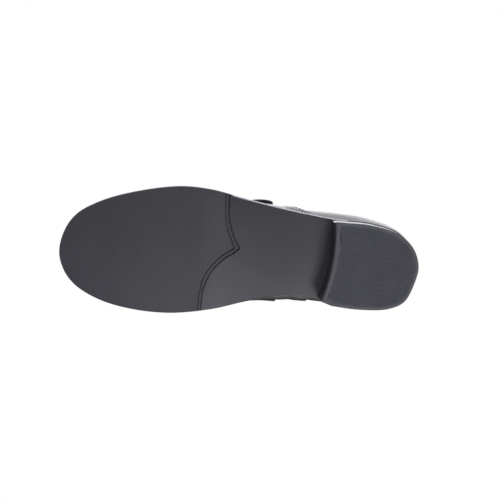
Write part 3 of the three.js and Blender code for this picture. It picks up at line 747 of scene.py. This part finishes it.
def makeOutsole():
    values = outsoleValues

    # the waist is a little fuller in the middle than at its edges
    def crown(point):
        x = point.x / soleLength
        along = ease(x, *values["crownRise"]) * (1 - ease(x, *values["crownFall"]))
        return -values["crown"] * along * max(0, 1 - (point.y / values["crownHalf"]) ** 2)
    sole = soleGrid("outsole_shaped", values["columns"], values["rows"], lambda s: 0, crown,
                    arris=values["arris"])
    with editing(sole):
        extrudeUp(shoe["outsole"])
    for vertex in sole.data.vertices:
        if vertex.select:
            vertex.co.z = (baseHeight(vertex.co.x * 1000 - shift.x) + shoe["outsole"]) / 1000
    faceOut(sole)
    for name in grooves:
        cutter = grooveCutter(name)
        modify(sole, "BOOLEAN", operation="DIFFERENCE", object=cutter, solver="MANIFOLD")
        bpy.data.objects.remove(cutter)
    smooth(sole, 30)
    settle(sole, "shoe", ["outsole"], "sole", foreSole)
    sole.data.materials.append(waistSole)
    sole.data.materials.append(soleArrisHighlight)
    shares = grooves["rearOuter"][::-1] + grooves["rearInner"]
    line = openCurve([Vector((x * soleLength, y * ballWidth, 0)) for x, y in shares])
    # faces on the waist's lower arris get the painted highlight
    rim = [edgeInset(k / 200, values["highlightInset"]) for k in range(200)]
    front, back = values["highlightSpan"]
    for face in sole.data.polygons:
        x, y = face.center.x * 1000 - shift.x, face.center.y * 1000 - shift.y
        nearest = min(line, key=lambda p: abs(p.y - y))
        face.material_index = 1 if x > nearest.x - values["border"] else 0
        onArris = -0.97 < face.normal.z < -0.1 and not insideLoop(rim, x, y)
        if onArris and front < x / soleLength < back:
            face.material_index = 2
    print("outsole made", len(sole.data.polygons), "faces")


makeOutsole()

# ---- heel block and top piece

heelValues = {
    "start": 0.378, "end": 0.638, "outer": (0.768, -0.321), "inner": (0.735, 0.324),
    "hollow": 0.012, "slant": 0.008, "inset": 0.6, "waist": 0.8, "glue": 0.05,
    "rim": 2.3, "recess": 0.45, "studPitch": 1.45, "studHeight": 0.36, "studFoot": 0.6, "studTop": 0.36,
    "studStep": (0.78, 0.52), "studStretch": (1.25, 0.85), "studClear": 0.35, "breastClear": 0.5,
}


def heelLoop(z, inset, arcSteps=84, breastSteps=24):
    values = heelValues
    forward = values["slant"] * soleLength * z / shoe["heel"]
    loop = []
    for k in range(arcSteps + 1):
        point = edgeInset(mix(values["start"], values["end"], k / arcSteps), inset)
        point.z = z
        loop.append(point)
    for k in range(breastSteps + 1):
        u = k / breastSteps
        y = mix(values["inner"][1] * ballWidth - inset, values["outer"][1] * ballWidth + inset, u)
        x = mix(values["inner"][0], values["outer"][0], u) + values["hollow"] * 4 * u * (1 - u)
        loop.append(Vector((x * soleLength - forward, y, z)))
    return loop


# A filled circle whose rim is put on the first loop, then extruded through the others
def loopStack(name, loops):
    bpy.ops.object.select_all(action="DESELECT")
    bpy.ops.mesh.primitive_circle_add(vertices=len(loops[0]), fill_type="NGON")
    piece = bpy.context.object
    piece.name = piece.data.name = name
    for vertex, point in zip(piece.data.vertices, loops[0]):
        vertex.co = toFrame(point)
    for loop in loops[1:]:
        pickFace(piece, lambda f: (len(f.vertices), f.center.z))
        with editing(piece, None):
            extrudeUp(0.1)
        cap = max(piece.data.polygons, key=lambda f: (f.select, len(f.vertices)))
        nearest = {k: toFrame(p) for k, p in enumerate(loop)}
        base = [toFrame(p) for p in loops[loops.index(loop) - 1]]
        for index in cap.vertices:
            vertex = piece.data.vertices[index]
            flat = min(range(len(base)), key=lambda k: (base[k].xy - vertex.co.xy).length)
            vertex.co = nearest[flat]
    faceOut(piece)
    return piece


def makeHeel():
    values = heelValues
    heights = [0, 0.12, 0.3, 0.5, 0.7, 0.88, 1]
    low, high = shoe["topPiece"] + values["glue"], shoe["heel"] - values["glue"]
    loops = [heelLoop(mix(low, high, u), values["inset"] + values["waist"] * math.sin(math.pi * u))
             for u in heights]
    block = loopStack("heel_block_shaped", loops)
    roundEdges(block, 0.6, 3, 50)
    smooth(block, 30)
    settle(block, "shoe", ["heel_block"], "heel", heelLacquer)
    top = loopStack("heel_top_piece_shaped",
                    [heelLoop(z, values["inset"]) for z in (0, shoe["topPiece"])])
    pickFace(top, lambda f: -f.center.z)
    with editing(top, None):
        bpy.ops.mesh.inset(thickness=values["rim"] / 1000, use_even_offset=True)
        extrudeUp(values["recess"])
    roundEdges(top, 0.3, 2, 50)
    smooth(top, 30)
    settle(top, "shoe", ["heel_top_piece"], "top_piece", topRubber)
    makeStuds()
    print("heel made")


# One diamond stud, laid out in slanting rows over the recess of the top piece
def makeStuds():
    values = heelValues
    pitch = values["studPitch"]
    loop = heelLoop(0, values["inset"] + values["rim"] + values["studClear"])
    middle = sum(loop, Vector()) / len(loop)
    bpy.ops.object.select_all(action="DESELECT")
    foot, top = pitch * values["studFoot"] / 1000, pitch * values["studTop"] / 1000
    bpy.ops.mesh.primitive_cone_add(vertices=4, radius1=foot, radius2=top, depth=values["studHeight"] / 1000,
                                    end_fill_type="NGON", rotation=(math.pi, 0, 0))
    stud = bpy.context.object
    bpy.ops.object.transform_apply(location=False, rotation=True, scale=True)
    floor = values["recess"] - values["studHeight"] / 2
    (stepX, stepY), (wide, deep) = values["studStep"], values["studStretch"]
    copies = []
    reach = 60
    for a in range(-reach, reach):
        for b in range(-reach, reach):
            x = middle.x + (a + b) * pitch * stepX
            y = middle.y + (a - b) * pitch * stepY
            # the loop keeps the breast line, so the rim is left clear there by the second test
            clear = x - values["rim"] - values["breastClear"]
            if not insideLoop(loop, x, y) or not insideLoop(loop, clear, y):
                continue
            twin = bpy.data.objects.new("stud", stud.data.copy())
            bpy.context.scene.collection.objects.link(twin)
            twin.data.transform(Matrix.Translation(toFrame(Vector((x, y, floor))))
                                @ Matrix.Diagonal((wide, deep, 1, 1)))
            copies.append(twin)
    bpy.data.objects.remove(stud)
    joined = joinAll("heel_studs", copies)
    settle(joined, "shoe", [], "top_piece", topRubber)
    print("studs", len(copies))


def joinAll(name, pieces):
    bpy.ops.object.select_all(action="DESELECT")
    for piece in pieces:
        piece.select_set(True)
    bpy.context.view_layer.objects.active = pieces[0]
    bpy.ops.object.join()
    joined = bpy.context.object
    joined.name = joined.data.name = name
    return joined


makeHeel()

# ---- stitches

stitchValues = {"length": 2.1, "pitch": 2.9, "radius": 0.32}


# One stitch, copied along a list of (place, normal) pairs in the frame's metres
def stitchRow(name, route, body, slot, material=None, closed=False, values=stitchValues):
    bpy.ops.object.select_all(action="DESELECT")
    bpy.ops.mesh.primitive_uv_sphere_add(segments=6, ring_count=5, radius=1)
    seed = bpy.context.object
    seed.data.transform(Matrix.Rotation(math.pi / 2, 4, "Y"))
    seed.data.transform(Matrix.Diagonal((values["length"] / 2000, values["radius"] / 1000,
                                         values["radius"] * 0.8 / 1000, 1)))
    if closed:
        route = route + route[:1]
    travelled = [0]
    for (a, _), (b, _) in zip(route, route[1:]):
        travelled.append(travelled[-1] + (b - a).length)
    count = max(2, round(travelled[-1] * 1000 / values["pitch"]))
    copies = []
    for k in range(count):
        far = travelled[-1] * (k + 0.5) / count
        i = min(bisect.bisect_right(travelled, far), len(travelled) - 1)
        share = (far - travelled[i - 1]) / max(travelled[i] - travelled[i - 1], 1e-9)
        place = route[i - 1][0].lerp(route[i][0], share)
        normal = route[i - 1][1].lerp(route[i][1], share).normalized()
        along = (route[i][0] - route[i - 1][0]).normalized()
        side = normal.cross(along).normalized()
        along = side.cross(normal)
        twin = bpy.data.objects.new(name, seed.data.copy())
        bpy.context.scene.collection.objects.link(twin)
        twin.data.transform(Matrix.Translation(place) @ Matrix((along, side, normal)).transposed().to_4x4())
        copies.append(twin)
    bpy.data.objects.remove(seed)
    joined = joinAll(name, copies)
    smooth(joined, 60)
    return settle(joined, body, [], slot, material or threadPaint)


# Places on the wall with their normals, lifted off it outwards, or inwards where side is -1
def wallRoute(places, lift, side=1):
    route = []
    for s, t in places:
        normal = wallNormal(s, t) * side
        far = lift(s, t) if callable(lift) else lift
        route.append((toFrame(outerFace(s, t) + normal * far), normal))
    return route


# ---- upper

upperValues = {
    "vampColumns": 230, "quarterColumns": 74, "rows": 44, "marginRows": 4, "edge": 0.35,
    "strip": 0.7, "stripHalf": 7, "stripStitchIn": 2, "seamRows": (1.8, 4.2),
}
lapShare = shoe["lap"] / perimeter
# both leathers are thinned where they lap, so the vamp's edge stands less than its thickness
lapRise = 0.9
tuck = shoe["leather"] + shoe["gap"] - lapRise
wallFoot = 0.12


def tuckAt(s):
    w = s % 1
    past = w - shoe["seamOuter"] if w < 0.5 else shoe["seamInner"] - w
    return -tuck * (1 - ease(past * perimeter, 0, 4))


def lapAt(s):
    w = s % 1
    past = w - (shoe["seamOuter"] - lapShare) if w < 0.5 else shoe["seamInner"] + lapShare - w
    return lapRise * ease(past, -lapShare, 0)


def lapUnderBinding(s):
    w = s % 1
    past = w - shoe["seamOuter"] if w < 0.5 else shoe["seamInner"] - w
    return lapAt(s) if past < 0 else lapRise * (1 - ease(past * perimeter, 1, 6))


def lastedPanel(name, start, end, columns, shiftAt, standAt):
    rows, marginRows = upperValues["rows"], upperValues["marginRows"]

    def place(i, j):
        k = j - marginRows
        t = max(0, k) / rows
        u = i / columns
        s = mix(start, end, u) + shiftAt(u, t)
        if k > 0:
            return wallAt(s, t, -standAt(s) * ease(t, 0, wallFoot))
        foot = leant(s, 0)
        point = edgeInset(foot, footInset(foot) - k / marginRows * shoe["margin"])
        point.z = baseHeight(point.x) + marginLow
        return point
    size = (abs(end - start) * perimeter / 1000, 0.06)
    return shapedGrid(name, columns, rows + marginRows, place, size)


def wallPanel(name, start, end, columns, rows, low, high, depthAt):
    def place(i, j):
        s = mix(start, end, i / columns)
        t = mix(low, high, j / rows)
        return wallAt(s, t, depthAt(s, t))
    return shapedGrid(name, columns, rows, place, (abs(end - start) * perimeter / 1000, 0.045))


def makeUpper():
    values = upperValues
    gapShare = shoe["gap"] / perimeter
    vamp = lastedPanel("vamp_shaped", shoe["seamInner"] - 1, shoe["seamOuter"], values["vampColumns"],
                       lambda u, t: 0, lapAt)
    sheetPiece(vamp, "shoe", ["vamp"], "leather", upperLeather, shoe["leather"], values["edge"])
    under = lambda near, t: near ** 8 * ease(t, 1.3 * wallFoot, 1.9 * wallFoot) * lapShare
    outer = lastedPanel("quarter_lateral_shaped", shoe["seamOuter"] + gapShare, 0.5 - gapShare / 2,
                        values["quarterColumns"], lambda u, t: -under(1 - u, t), tuckAt)
    sheetPiece(outer, "shoe", ["quarter_lateral"], "leather", upperLeather, shoe["leather"], values["edge"])
    inner = lastedPanel("quarter_medial_shaped", 0.5 + gapShare / 2, shoe["seamInner"] - gapShare,
                        values["quarterColumns"], lambda u, t: under(u, t), tuckAt)
    sheetPiece(inner, "shoe", ["quarter_medial"], "leather", upperLeather, shoe["leather"], values["edge"])
    print("upper made")


def bindingShareAt(s):
    return 1 - shoe["bindingLeg"] / (outerFace(s, 1) - outerFace(s, 0.98)).length * 0.02


def makeBackStrip():
    thickness = upperValues["strip"]
    half, stitchIn = upperValues["stripHalf"] / perimeter, upperValues["stripStitchIn"] / perimeter
    top = bindingShareAt(0.5) - 0.01
    strip = wallPanel("back_strip_shaped", 0.5 - half, 0.5 + half, 14, 40, 0.06, top,
                      lambda s, t: -shoe["gap"] - thickness)
    sheetPiece(strip, "shoe", ["back_strip"], "leather", upperLeather, thickness, 0.25)
    for k, side in enumerate((-1, 1)):
        places = [(0.5 + side * (half - stitchIn), mix(0.08, top - 0.02, n / 40)) for n in range(41)]
        route = wallRoute(places, shoe["gap"] + thickness + 0.06)
        stitchRow(f"back_strip_stitches_{k + 1}", route, "shoe", "leather")


# Rows of stitches along the rear edge of the vamp's wings
def makeSeamStitches():
    for side, seam, turn in (("lateral", shoe["seamOuter"], -1), ("medial", shoe["seamInner"], 1)):
        top = bindingShareAt(seam) - 0.02
        for k, back in enumerate(upperValues["seamRows"]):
            s = seam + turn * back / perimeter
            places = [(s, mix(0.1, top, n / 40)) for n in range(41)]
            stitchRow(f"seam_stitches_{side}_{k + 1}", wallRoute(places, lapRise + 0.08), "shoe", "leather")


bindingValues = {"columns": 300, "capPoints": 9, "stitchIn": 1.1}


def bindingSection(s):
    share = bindingShareAt(s)
    out = -shoe["gap"] - lapUnderBinding(s)
    far = out - shoe["binding"]
    near = wallDepth - shoe["stiffener"]
    inside = near + shoe["binding"]
    up = (outerFace(s, 1) - outerFace(s, 0.98)).normalized()
    normal = wallNormal(s, 1)
    top = outerFace(s, 1)
    over = lambda depth, height: top - normal * depth + up * height
    points = [wallAt(s, share, far), wallAt(s, mix(share, 1, 0.5), far)]
    cap = shoe["gap"] + shoe["binding"]
    middle, half = (far + inside) / 2, (inside - far) / 2
    for k in range(bindingValues["capPoints"]):
        a = math.pi * k / (bindingValues["capPoints"] - 1)
        bow = math.copysign(abs(math.cos(a)) ** 0.5, math.cos(a))
        points.append(over(middle - half * bow, cap * math.sin(a) ** 0.5))
    points += [wallAt(s, mix(share, 1, 0.5), inside), wallAt(s, share, inside), wallAt(s, share, near),
               wallAt(s, mix(share, 1, 0.5), near), over(near, shoe["gap"]), over(out, shoe["gap"]),
               wallAt(s, mix(share, 1, 0.5), out), wallAt(s, share, out)]
    return points


def makeBinding():
    columns = bindingValues["columns"]
    sections = [bindingSection(k / columns) for k in range(columns)]
    size = len(sections[0])
    binding = shapedGrid("topline_binding_shaped", columns, size,
                         lambda i, j: sections[i % columns][j % size], (0.36, 0.016))
    weld(binding)
    roundEdges(binding, 0.15, 2, 60)
    smooth(binding, 50)
    settle(binding, "shoe", ["topline_binding"], "leather", bindingLeather)
    down = bindingValues["stitchIn"] / shoe["bindingLeg"]
    places = [(k / 400, mix(bindingShareAt(k / 400), 1, down)) for k in range(400)]
    route = wallRoute(places, lambda s, t: shoe["gap"] + shoe["binding"] + lapUnderBinding(s) + 0.05)
    stitchRow("binding_stitches", route, "shoe", "leather", closed=True,
              values={"length": 1.7, "pitch": 2.4, "radius": 0.25})
    print("binding made")


makeUpper()
makeBackStrip()
makeSeamStitches()
makeBinding()

# ---- linings and sock

liningValues = {"columns": 150, "rows": 28, "top": 0.72, "drawn": 0.86, "stitchIn": 1.6,
                "swell": (0.6, 0.71)}


def cushionSwell(x):
    return (shoe["cushion"] + shoe["gap"]) * ease(x / soleLength, *liningValues["swell"])


def liningAt(s, t):
    drawn = (shoe["stiffener"] + shoe["gap"]) * ease(t, liningValues["top"] + 0.04, liningValues["drawn"])
    return liningDepth - drawn


def makeLinings():
    gapShare = shoe["gap"] / perimeter
    values = liningValues
    front = wallPanel("vamp_lining_shaped", shoe["liningInner"] - 1, shoe["liningOuter"], values["columns"],
                      values["rows"], wallFoot, 1, liningAt)
    sheetPiece(front, "shoe", ["vamp_lining"], "lining", liningCloth, shoe["lining"], 0.15)
    rear = wallPanel("quarter_lining_shaped", shoe["liningOuter"] + gapShare, shoe["liningInner"] - gapShare,
                     values["columns"], values["rows"], wallFoot, 1, liningAt)
    sheetPiece(rear, "shoe", ["quarter_lining"], "lining", liningCloth, shoe["lining"], 0.15)
    for side, seam, turn in (("lateral", shoe["liningOuter"], 1), ("medial", shoe["liningInner"], -1)):
        s = seam + turn * values["stitchIn"] / perimeter
        places = [(s, mix(wallFoot + 0.05, 0.88, n / 40)) for n in range(41)]
        route = wallRoute(places, lambda s, t: liningAt(s, t) + shoe["lining"] + 0.03, -1)
        stitchRow(f"lining_stitches_{side}", route, "shoe", "lining", paleThread,
                  values={"length": 1.7, "pitch": 2.6, "radius": 0.22})


sockValues = {
    "centre": (0.865, 3), "dish": 0.5, "dishHalf": (26, 19), "ringHalf": (24, 17),
    "cushionFrom": 0.336, "cushionThick": 1.3,
}


def makeSock():
    values = sockValues
    (wide, deep), (ringWide, ringDeep) = values["dishHalf"], values["ringHalf"]
    centre = Vector((values["centre"][0] * soleLength, values["centre"][1], 0))
    inset = lambda s: footInset(s) + wallDepth + 3 * shoe["gap"]

    # the sock dishes a little under the heel and rises at its rim
    def height(point):
        top = sockLow + cushionSwell(point.x) + shoe["sock"]
        heel = Vector(((point.x - centre.x) / wide, (point.y - centre.y) / deep))
        return top - values["dish"] * max(0, 1 - heel.length_squared) ** 1.5
    sock = soleGrid("sock_lining_shaped", 170, 44, inset, height)
    sheetPiece(sock, "shoe", ["sock_lining"], "sock", sockLeather, shoe["sock"] - 0.1, 0.3, Vector((0, 0, 1)))
    route = []
    for k in range(200):
        a = 2 * math.pi * k / 200
        place = centre + Vector((ringWide * math.cos(a), ringDeep * math.sin(a), 0))
        place.z = baseHeight(place.x) + height(place) + 0.02
        route.append((toFrame(place), Vector((0, 0, 1))))
    stitchRow("sock_stitches", route, "shoe", "sock", paleThread, closed=True,
              values={"length": 1.8, "pitch": 2.7, "radius": 0.22})
    cushion = soleGrid("heel_cushion_shaped", 60, 26, lambda s: footInset(s) + wallDepth + 7 * shoe["gap"],
                       lambda p: sockLow + cushionSwell(p.x) - shoe["gap"], start=values["cushionFrom"])
    sheetPiece(cushion, "shoe", ["heel_cushion"], "foam", foamPaint, values["cushionThick"], 0.4,
               Vector((0, 0, 1)))
    print("linings and sock made")


makeLinings()
makeSock()

# ---- strap

strap = {
    "width": 19, "thickness": 1.2, "lining": 0.5, "patch": 0.55, "tab": 17, "rise": 17, "lean": 20,
    "place": 147, "baseFoot": 0.4, "rows": 22, "split": 0.012, "stitchIn": 2.2,
}
strapAcross = Vector((math.cos(math.radians(strap["lean"])), 0, math.sin(math.radians(strap["lean"]))))
strapHalf = strap["width"] / 2
gap = shoe["gap"]
strapDepth = strap["thickness"] + strap["lining"] + 2 * gap
tabStand = 2 * (strap["patch"] + gap) + strapDepth
baseStandTop = shoe["binding"] + gap + strapDepth
baseStandFoot = strap["thickness"] + gap


sideSpans = {"outer": (0.16, 0.42), "inner": (0.84, 0.58)}
halvings = 22


@functools.lru_cache(None)
def onWall(side, t, distance, stand):
    low, high = sideSpans[side]
    for _ in range(halvings):
        middle = (low + high) / 2
        if outerFace(middle, t).dot(strapAcross) < distance:
            low = middle
        else:
            high = middle
    return wallAt(low, t, -stand)


def baseStand(t):
    return mix(baseStandFoot, baseStandTop, ease(t, 0.6, 0.85))


def tipHeight():
    fold = onWall("outer", 1, strap["place"], tabStand)
    low, high = 0, 1
    for _ in range(halvings):
        middle = (low + high) / 2
        if (onWall("outer", middle, strap["place"], tabStand) - fold).length > strap["tab"]:
            low = middle
        else:
            high = middle
    return low


tabTip = tipHeight()


@functools.lru_cache(None)
def archAt(q):
    distance = strap["place"] + q
    outer = onWall("outer", 1, distance, tabStand)
    inner = onWall("inner", 1, distance, baseStand(1))
    outerUp = (outer - onWall("outer", 0.98, distance, tabStand)).normalized() * strap["rise"] + outer
    innerUp = (inner - onWall("inner", 0.98, distance, baseStand(0.98))).normalized() * strap["rise"] + inner
    return outer, outerUp, innerUp, inner


# p 0 to 1 up the tab, 1 to 2 over the instep, 2 to 3 down the base; q in millimetres across
def strapFace(p, q):
    distance = round(strap["place"] + q, 4)
    if p <= 1:
        return onWall("outer", round(mix(tabTip, 1, p), 5), distance, tabStand)
    if p >= 2:
        t = round(mix(1, strap["baseFoot"], p - 2), 5)
        return onWall("inner", t, distance, baseStand(t))
    a, b, c, d = archAt(round(q, 4))
    u = p - 1
    r = 1 - u
    return a * r ** 3 + b * 3 * r * r * u + c * 3 * r * u * u + d * u ** 3


def strapNormal(p, q):
    low, high = max(p - 0.02, 0), min(p + 0.02, 3)
    dq = strapFace(p, q + 0.5) - strapFace(p, q - 0.5)
    dp = strapFace(high, q) - strapFace(low, q)
    return dq.cross(dp).normalized()


def strapPiece(name, stops, halfAt, depth, thickness, body, nodes, slot, material, edge=0.3):
    rows = strap["rows"]

    def place(i, j):
        half = halfAt(stops[i])
        q = mix(-half, half, j / rows)
        return strapFace(stops[i], q) - strapNormal(stops[i], q) * depth
    piece = shapedGrid(name, len(stops) - 1, rows, place, (0.09, strap["width"] / 1000))
    weld(piece)
    return sheetPiece(piece, body, nodes, slot, material, thickness, edge)


def stopsBetween(low, high, count):
    return [mix(low, high, k / count) for k in range(count + 1)]


def tabShape(setIn, last):
    radius = strapHalf - setIn
    arcs = [setIn + radius * (1 - math.cos(k / 16 * math.pi / 2)) for k in range(17)]
    stops = [length / strap["tab"] for length in arcs]
    stops += stopsBetween(stops[-1], last, 14)[1:]

    def half(p):
        left = max(0, radius + setIn - p * strap["tab"])
        return math.sqrt(max(0, radius * radius - left * left))
    return stops, half


def strapRoute(places):
    route = []
    for p, q in places:
        normal = strapNormal(p, q)
        route.append((toFrame(strapFace(p, q) + normal * 0.05), normal))
    return route


def makeStrap():
    splitGap, inset = strap["split"], strap["stitchIn"]
    liningIn = strap["thickness"] + gap
    full = lambda p: strapHalf
    trimmed = lambda p: strapHalf - 1
    strapPiece("strap_base_shaped", stopsBetween(2 + splitGap, 3, 26), full, 0, strap["thickness"],
               "shoe", ["strap_base"], "leather", strapLeather)
    strapPiece("strap_band_shaped", stopsBetween(1 + splitGap, 2 - splitGap, 70), full, 0, strap["thickness"],
               "strap", ["strap_band"], "leather", strapLeather)
    strapPiece("strap_band_lining_shaped", stopsBetween(1 + splitGap, 2 - splitGap, 60), trimmed, liningIn,
               strap["lining"], "strap", ["strap_band_lining"], "lining", strapBacking, 0.15)
    strapPiece("strap_tab_shaped", *tabShape(0, 1 - splitGap), 0, strap["thickness"],
               "tab", ["strap_tab"], "leather", strapLeather)
    strapPiece("strap_tab_lining_shaped", *tabShape(1, 1 - splitGap), liningIn, strap["lining"],
               "tab", ["strap_tab_lining"], "lining", strapBacking, 0.15)
    # the creases where the strap bends, a little thinner than the leather beside them
    for name, fold, near, far in (("base", 2, "shoe", "strap"), ("tab", 1, "strap", "tab")):
        low, high = fold - splitGap - 0.003, fold + splitGap + 0.003
        start, end = toFrame(strapFace(high, 0)), toFrame(strapFace(low, 0))
        strapPiece(f"strap_fold_{name}", stopsBetween(low, high, 10), full, 0.08, strap["thickness"] - 0.16,
                   (near, far, start, end), [], "leather", strapLeather, 0.05)
    for name, side in (("front", -1), ("rear", 1)):
        line = [(mix(1.03, 1.97, k / 80), side * (strapHalf - inset)) for k in range(81)]
        stitchRow(f"band_stitches_{name}", strapRoute(line), "strap", "leather")
    stops, half = tabShape(inset, 0.96)
    rim = [(p, -half(p)) for p in reversed(stops)] + [(p, half(p)) for p in stops[1:]]
    stitchRow("tab_stitches", strapRoute(rim), "tab", "leather")
    side = strapHalf - inset
    high, low = 2.04, 2.88
    rim = [(mix(high, low, k / 20), -side) for k in range(21)]
    rim += [(low, mix(-side, side, k / 20)) for k in range(1, 21)]
    rim += [(mix(low, high, k / 20), side) for k in range(1, 21)]
    stitchRow("base_stitches", strapRoute(rim), "shoe", "leather")
    centre = [strapFace(mix(1, 2, k / 100), 0) for k in range(101)]
    print("strap made, band", round(sum((b - a).length for a, b in zip(centre, centre[1:])), 1), "mm long")


makeStrap()

# ---- frame pieces that stay, with their own finishes
finishOf = {
    "shank": steelPaint, "shank_rivet_front": steelPaint, "shank_rivet_rear": steelPaint,
    "forepart_filler": corkPaint, "insole_board": boardPaint, "toe_puff": stiffPaint,
    "heel_counter": stiffPaint, "hook_patch": tapePaint, "loop_patch": tapePaint,
}
for k in range(1, 6):
    finishOf[f"heel_nail_{k}"] = steelPaint
for node, material in finishOf.items():
    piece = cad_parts[node]
    piece.data.materials.clear()
    piece.data.materials.append(material)
print("frame pieces painted")
